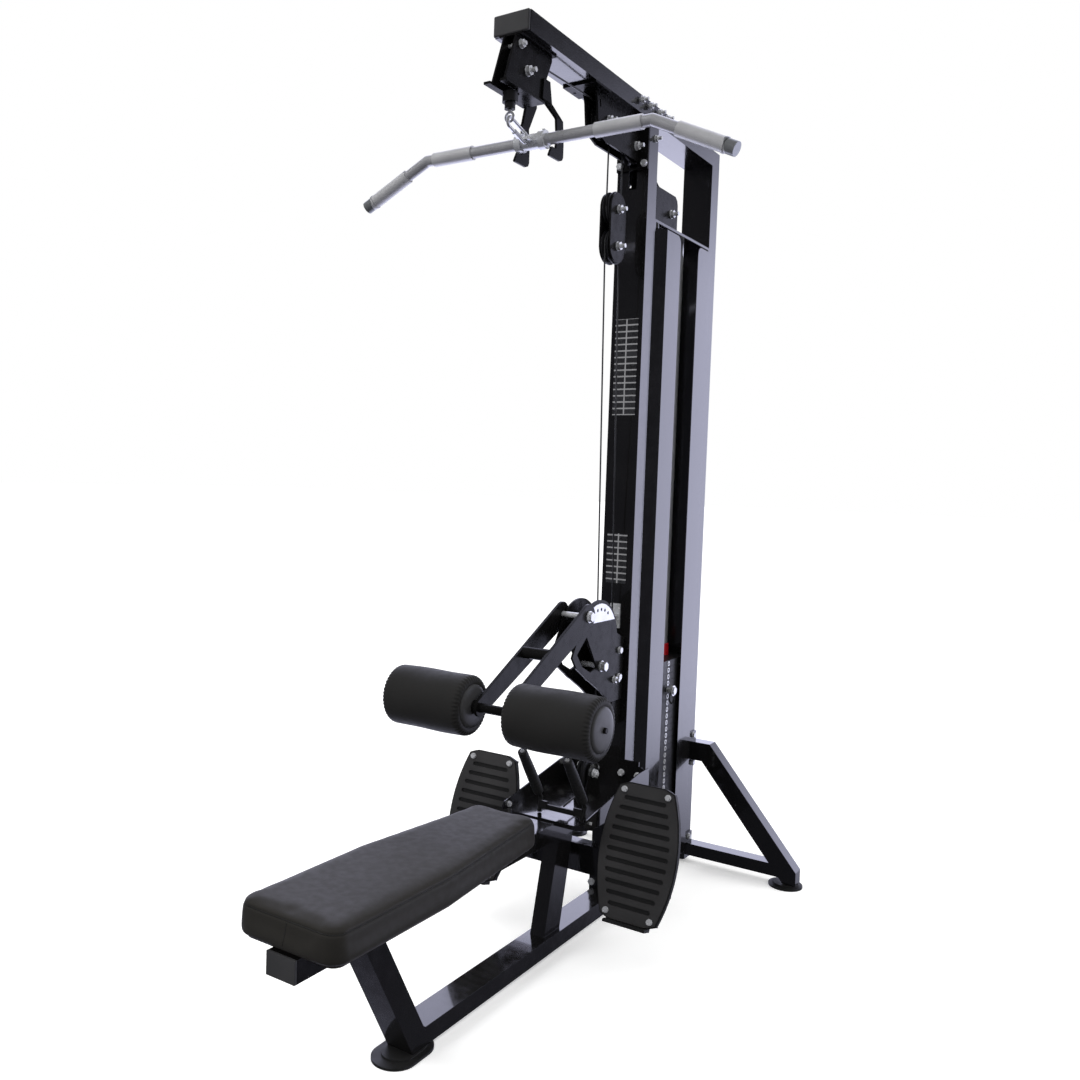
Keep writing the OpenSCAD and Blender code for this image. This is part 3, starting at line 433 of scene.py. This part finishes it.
# ---------- bench pad ----------
PAD_REAR_HALF = 104 * MM
PAD_REAR_CORNER = 40 * MM
PAD_WAIST = -15 * MM


def pad_outline(low, high, inset, corner=45 * MM, steps=8):
    """Points round the pad seen from above: rounded corners, tapering from the waist to the rear."""
    half, rear_half = high.x - inset, PAD_REAR_HALF - inset
    front, rear, waist = low.y + inset, high.y - inset, PAD_WAIST
    corner -= inset
    small = PAD_REAR_CORNER - inset
    points = []

    def arc(x, y, r, start, end):
        for i in range(steps + 1):
            a = math.radians(start + (end - start) * i / steps)
            points.append((x + r * math.cos(a), y + r * math.sin(a)))

    arc(half - corner, front + corner, corner, -90, 0)
    points.append((half, waist))
    arc(rear_half - small, rear - small, small, 5, 90)
    arc(-rear_half + small, rear - small, small, 90, 175)
    points.append((-half, waist))
    arc(-half + corner, front + corner, corner, 180, 270)
    return points


def slab(outline, levels):
    """Closed mesh from an outline function of inset and a list of (height, inset)."""
    vertices, faces = [], []
    for z, inset in levels:
        vertices += [(x, y, z) for x, y in outline(inset)]
    count = len(vertices) // len(levels)
    for i in range(len(levels) - 1):
        for k in range(count):
            m = (k + 1) % count
            faces.append((i * count + k, i * count + m, (i + 1) * count + m, (i + 1) * count + k))
    faces.append(tuple(range(count))[::-1])
    faces.append(tuple(range((len(levels) - 1) * count, len(levels) * count)))
    return vertices, faces


def apply(made, kind, **settings):
    bpy.context.view_layer.objects.active = made
    modifier = made.modifiers.new(kind.lower(), kind)
    for key, value in settings.items():
        setattr(modifier, key, value)
    bpy.ops.object.modifier_apply(modifier=modifier.name)


def swell(made, held, cap, pressure=4.0):
    """Blows up a closed piece with a cloth simulation; held(point) stays put and nothing moves past cap."""
    rest = [v.co.copy() for v in made.data.vertices]
    group = made.vertex_groups.new(name="held")
    group.add([i for i, point in enumerate(rest) if held(point)], 1.0, "REPLACE")
    cloth = made.modifiers.new("cloth", "CLOTH")
    cloth.settings.use_pressure = True
    cloth.settings.uniform_pressure_force = pressure
    cloth.settings.quality = 4
    cloth.settings.vertex_group_mass = "held"
    cloth.settings.effector_weights.gravity = 0.0
    for number in range(1, 21):
        bpy.context.scene.frame_set(number)
    shaped = made.evaluated_get(bpy.context.evaluated_depsgraph_get()).to_mesh()
    moved = [v.co.copy() for v in shaped.vertices]
    made.modifiers.remove(cloth)
    made.vertex_groups.clear()
    for vertex, a, b in zip(made.data.vertices, rest, moved):
        step = b - a
        if step.length > cap:
            step *= cap / step.length
        vertex.co = a + step
    bpy.context.scene.frame_set(1)


def groove(made, path, width, depth):
    """Presses a line of points into a soft piece, along its own normals."""
    edges = [(i, (i + 1) % len(path), i) for i in range(len(path))]
    tree = BVHTree.FromPolygons([Vector(p) for p in path], edges)
    normals = [v.normal.copy() for v in made.data.vertices]
    for vertex, normal in zip(made.data.vertices, normals):
        hit = tree.find_nearest(vertex.co, width)
        if hit[0] is not None:
            share = 1 - (hit[3] / width) ** 2
            vertex.co = vertex.co - normal * depth * share * share


def on_surface(made, points, lift):
    tree = BVHTree.FromObject(made, bpy.context.evaluated_depsgraph_get())
    found = []
    for p in points:
        place, normal, _, _ = tree.find_nearest(Vector(p))
        found.append(place + normal * lift)
    return found


def dense(points, step):
    out = []
    for i, p in enumerate(points):
        a, b = Vector(p), Vector(points[(i + 1) % len(points)])
        count = max(1, int((b - a).length / step))
        out += [a + (b - a) * k / count for k in range(count)]
    return out


def bench():
    low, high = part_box("bench_pad")
    top = high.z

    def outline(inset):
        return pad_outline(low, high, inset)

    base = low.z - 8 * MM
    levels = [(base, 12 * MM), (base + 3 * MM, 7 * MM), (base + 9 * MM, 4 * MM),
              (top - 18 * MM, 4 * MM), (top - 9 * MM, 7 * MM), (top - 4 * MM, 14 * MM)]
    pad = piece("bench_cushion", *slab(outline, levels), SEAT)
    apply(pad, "REMESH", mode="VOXEL", voxel_size=5 * MM)
    swell(pad, lambda point: point.z < base + 3 * MM, 5 * MM)
    apply(pad, "SMOOTH", factor=0.5, iterations=14)
    apply(pad, "SUBSURF", levels=1)
    pad.data.shade_smooth()
    seam_z = top - 11 * MM
    ring = dense([(x, y, seam_z) for x, y in outline(2 * MM)], 6 * MM)
    ring = on_surface(pad, ring, 0.0)
    groove(pad, ring, 5 * MM, 1.6 * MM)
    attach(pad, "frame")
    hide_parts("bench_pad")
    bpy.context.view_layer.update()
    cord = on_surface(pad, ring, 0.3 * MM)
    piece("bench_seam", *tube(cord, 0.9 * MM, 6, closed=True), THREAD, "frame")
    join = [(6 * MM, low.y, seam_z - 50 * MM * i / 20) for i in range(21)]
    piece("bench_seam_front", *tube(on_surface(pad, join, 0.2 * MM), 0.8 * MM, 6), THREAD, "frame")


# ---------- thigh rollers ----------
def roller(node, body, sign):
    low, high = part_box(node)
    centre = (low + high) / 2
    radius = (high.z - low.z) / 2
    length = high.x - low.x
    inner = Vector((low.x if sign > 0 else high.x, centre.y, centre.z))
    outer = Vector((high.x if sign > 0 else low.x, centre.y, centre.z))
    pleats = 46
    shift = [RNG.uniform(-0.6, 0.6) for _ in range(pleats)]

    def gathered(distance, r, angle):
        edge = min(distance, length - distance)
        near_end = max(0.0, 1 - edge / (16 * MM))
        inside = max(0.0, min(1.0, (r - 50 * MM) / (24 * MM)))
        phase = angle * pleats + shift[int(angle / (2 * math.pi) * pleats) % pleats]
        sag = 0.7 * MM * math.sin(3 * angle + 40 * distance)
        return r + near_end * inside * 2.2 * MM * math.cos(phase) + sag * (1 - near_end)

    shoulder = 15 * MM
    profile = [(7 * MM, 48 * MM), (3.5 * MM, 54 * MM)]
    for i in range(9):
        a = math.radians(90 * i / 8)
        profile.append((2.5 * MM + shoulder * (1 - math.cos(a)), radius - shoulder * (1 - math.sin(a))))
    body_rings = [(2.5 * MM + shoulder + (length - 5 * MM - 2 * shoulder) * i / 14,
                   radius + 0.8 * MM * math.sin(math.pi * i / 14)) for i in range(1, 14)]
    other_end = [(length - d, r) for d, r in reversed(profile)]

    def under_disc(point):
        return Vector((0, point.y - centre.y, point.z - centre.z)).length < 56 * MM

    rings = profile + body_rings + other_end
    skin = piece(node + "_vinyl", *lathe(rings, inner, outer, 6 * pleats, gathered), VINYL)
    swell(skin, under_disc, cap=1.5 * MM, pressure=2.0)
    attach(skin, body)
    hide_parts(node)
    for end, away, name in ((inner, outer, "_inner_cap"), (outer, inner, "_outer_cap")):
        into = (away - end).normalized()
        face = [(-3.5 * MM, 14 * MM), (-3.2 * MM, 30 * MM), (-2.2 * MM, 46 * MM), (-0.4 * MM, 53.5 * MM),
                (2.5 * MM, 55.5 * MM), (9 * MM, 55.5 * MM)]
        piece(node + name, *lathe(face, end, end + into, 96), PLASTIC, body)


# ---------- row grips ----------
def grips():
    low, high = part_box("row_grips")
    middle_x = (low.x + high.x) / 2
    for sign, name in ((1, "right"), (-1, "left")):
        bottom = Vector((middle_x + sign * 69 * MM, high.y - 12.2 * MM, low.z + 8.7 * MM))
        top = Vector((middle_x + sign * 69 * MM, low.y + 12.2 * MM, high.z - 8.7 * MM))
        length = (top - bottom).length
        profile = [(0.0, 11 * MM)]
        steps = 60
        for i in range(steps + 1):
            t = i / steps
            swell = 14.5 * MM + 1.5 * MM * math.sin(math.pi * t) - 1.5 * MM * t
            rib = 0.8 * MM * (0.5 + 0.5 * math.cos(2 * math.pi * t * 14)) if 0.12 < t < 0.88 else 0.0
            profile.append((length * t, swell - rib))
        profile.append((length, 10 * MM))
        made = piece("row_grip_" + name, *lathe(profile, bottom, top, 48), RUBBER, "handle")
        if sign > 0:
            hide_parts("row_grips")


# ---------- selector pin lanyard ----------
def lanyard():
    low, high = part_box("selector_pin")
    knob = Vector((high.x - 10 * MM, (low.y + high.y) / 2, (low.z + high.z) / 2))
    centre = knob + Vector((0.0, 0.0, -20 * MM))
    path = []
    for i in range(241):
        a = 2 * math.pi * i / 240
        spot = centre + Vector((0.0, 20 * MM * math.sin(a), 20 * MM * math.cos(a)))
        out = (spot - centre).normalized()
        twist = 2 * math.pi * i / 240 * 40
        path.append(spot + 2.2 * MM * (math.cos(twist) * out + math.sin(twist) * Vector((1.0, 0.0, 0.0))))
    piece("pin_lanyard", *tube(path[:-1], 0.9 * MM, 6, closed=True), RUBBER, "pin")


cables()
bench()
roller("roller_right", "roller_r", 1)
roller("roller_left", "roller_l", -1)
grips()
lanyard()


# ---------- studio ----------
def stage_floor():
    """Pale floor, a little bright to the eye, dark to light bounced from it and clear to reflections."""
    mesh = bpy.data.meshes.new("studio_floor")
    reach = 60.0
    mesh.from_pydata([(-reach, -reach, 0), (reach, -reach, 0), (reach, reach, 0), (-reach, reach, 0)], [],
                     [(0, 1, 2, 3)])
    floor = bpy.data.objects.new("studio_floor", mesh)
    bpy.context.scene.collection.objects.link(floor)
    s = Shader("studio_floor")
    clear = s.node("ShaderNodeBsdfTransparent")
    rays = s.node("ShaderNodeLightPath")
    pale = s.tint((0.97, 0.97, 0.97), 0.01, 0.4)
    s.set(Base_Color=s.mix(rays.outputs["Is Diffuse Ray"], pale, (0.16, 0.16, 0.17, 1.0)))
    seen = s.maths("MULTIPLY", rays.outputs["Is Camera Ray"], 0.30)
    s.set(Roughness=0.9, Specular_IOR_Level=0.0, Emission_Color=(1.0, 1.0, 1.0, 1.0), Emission_Strength=seen)
    choose = s.node("ShaderNodeMixShader")
    s.link(rays.outputs["Is Glossy Ray"], choose.inputs["Fac"])
    s.link(s.principled.outputs["BSDF"], choose.inputs[1])
    s.link(clear.outputs["BSDF"], choose.inputs[2])
    s.link(choose.outputs["Shader"], s.tree.nodes["Material Output"].inputs["Surface"])
    mesh.materials.append(s.material)


def studio_world():
    """White for the eye and for soft light; dark in front and pale lavender behind for reflections."""
    world = bpy.data.worlds.new("studio")
    world.use_nodes = True
    bpy.context.scene.world = world
    tree = world.node_tree
    tree.nodes.clear()

    def node(kind, **settings):
        made = tree.nodes.new(kind)
        for key, value in settings.items():
            setattr(made, key, value)
        return made

    def step(value, start, end):
        made = node("ShaderNodeMapRange", interpolation_type="SMOOTHSTEP")
        tree.links.new(value, made.inputs["Value"])
        made.inputs["From Min"].default_value = start
        made.inputs["From Max"].default_value = end
        return made.outputs["Result"]

    def maths(operation, a, b):
        made = node("ShaderNodeMath", operation=operation)
        for target, value in ((made.inputs[0], a), (made.inputs[1], b)):
            if isinstance(value, float):
                target.default_value = value
            else:
                tree.links.new(value, target)
        return made.outputs["Value"]

    way = node("ShaderNodeSeparateXYZ")
    tree.links.new(node("ShaderNodeTexCoord").outputs["Generated"], way.inputs["Vector"])
    behind = step(way.outputs["Y"], 0.0, 0.55)
    left = step(way.outputs["X"], 0.15, -0.25)
    band = step(maths("ABSOLUTE", way.outputs["Z"], 0.0), 0.42, 0.16)
    glow = maths("MULTIPLY", behind, maths("MAXIMUM", left, band))
    strength = maths("ADD", maths("MULTIPLY", glow, 1.7), 0.06)

    mirror = node("ShaderNodeBackground")
    mirror.inputs["Color"].default_value = (0.76, 0.77, 1.0, 1.0)
    tree.links.new(strength, mirror.inputs["Strength"])
    plain = node("ShaderNodeBackground")
    plain.inputs["Color"].default_value = (1.0, 1.0, 1.0, 1.0)
    plain.inputs["Strength"].default_value = 1.0
    choose = node("ShaderNodeMixShader")
    tree.links.new(node("ShaderNodeLightPath").outputs["Is Glossy Ray"], choose.inputs["Fac"])
    tree.links.new(plain.outputs["Background"], choose.inputs[1])
    tree.links.new(mirror.outputs["Background"], choose.inputs[2])
    tree.links.new(choose.outputs["Shader"], node("ShaderNodeOutputWorld").inputs["Surface"])


def lamp(name, place, target, size, power, glossy=True):
    data = bpy.data.lights.new(name, "AREA")
    data.shape = "SQUARE"
    data.size = size
    data.energy = power
    made = bpy.data.objects.new(name, data)
    bpy.context.scene.collection.objects.link(made)
    made.location = place
    made.rotation_euler = (Vector(target) - Vector(place)).to_track_quat("-Z", "Y").to_euler()
    made.visible_camera = False
    made.visible_glossy = glossy


def studio_camera():
    place = Vector((1.34954, -1.77299, 1.29662))
    yaw, pitch, roll = 0.59626, -0.050144, 0.032439
    focal_px, centre_px, frame_px = 1014.05, (473.39, 529.27), 1080
    ahead = Vector((-math.sin(yaw) * math.cos(pitch), math.cos(yaw) * math.cos(pitch), math.sin(pitch)))
    level = Vector((math.cos(yaw), math.sin(yaw), 0.0))
    upright = level.cross(ahead)
    right = level * math.cos(roll) + upright * math.sin(roll)
    up = upright * math.cos(roll) - level * math.sin(roll)
    data = bpy.data.cameras.new("studio_camera")
    data.sensor_width = 36.0
    data.lens = focal_px / frame_px * data.sensor_width
    data.shift_x = 0.5 - centre_px[0] / frame_px
    data.shift_y = centre_px[1] / frame_px - 0.5
    data.clip_end = 200.0
    made = bpy.data.objects.new("studio_camera", data)
    bpy.context.scene.collection.objects.link(made)
    turn = Matrix((right, up, -ahead)).transposed().to_4x4()
    made.matrix_world = Matrix.Translation(place) @ turn
    bpy.context.scene.camera = made


stage_floor()
studio_world()
lamp("key", (-2.2, -2.6, 4.2), (0.0, 0.5, 0.8), 2.6, 110.0, glossy=False)
lamp("rim", (3.4, 2.6, 3.2), (0.0, 0.7, 1.0), 2.0, 50.0, glossy=False)
studio_camera()
bpy.context.scene.view_settings.view_transform = "Standard"

bpy.context.view_layer.update()
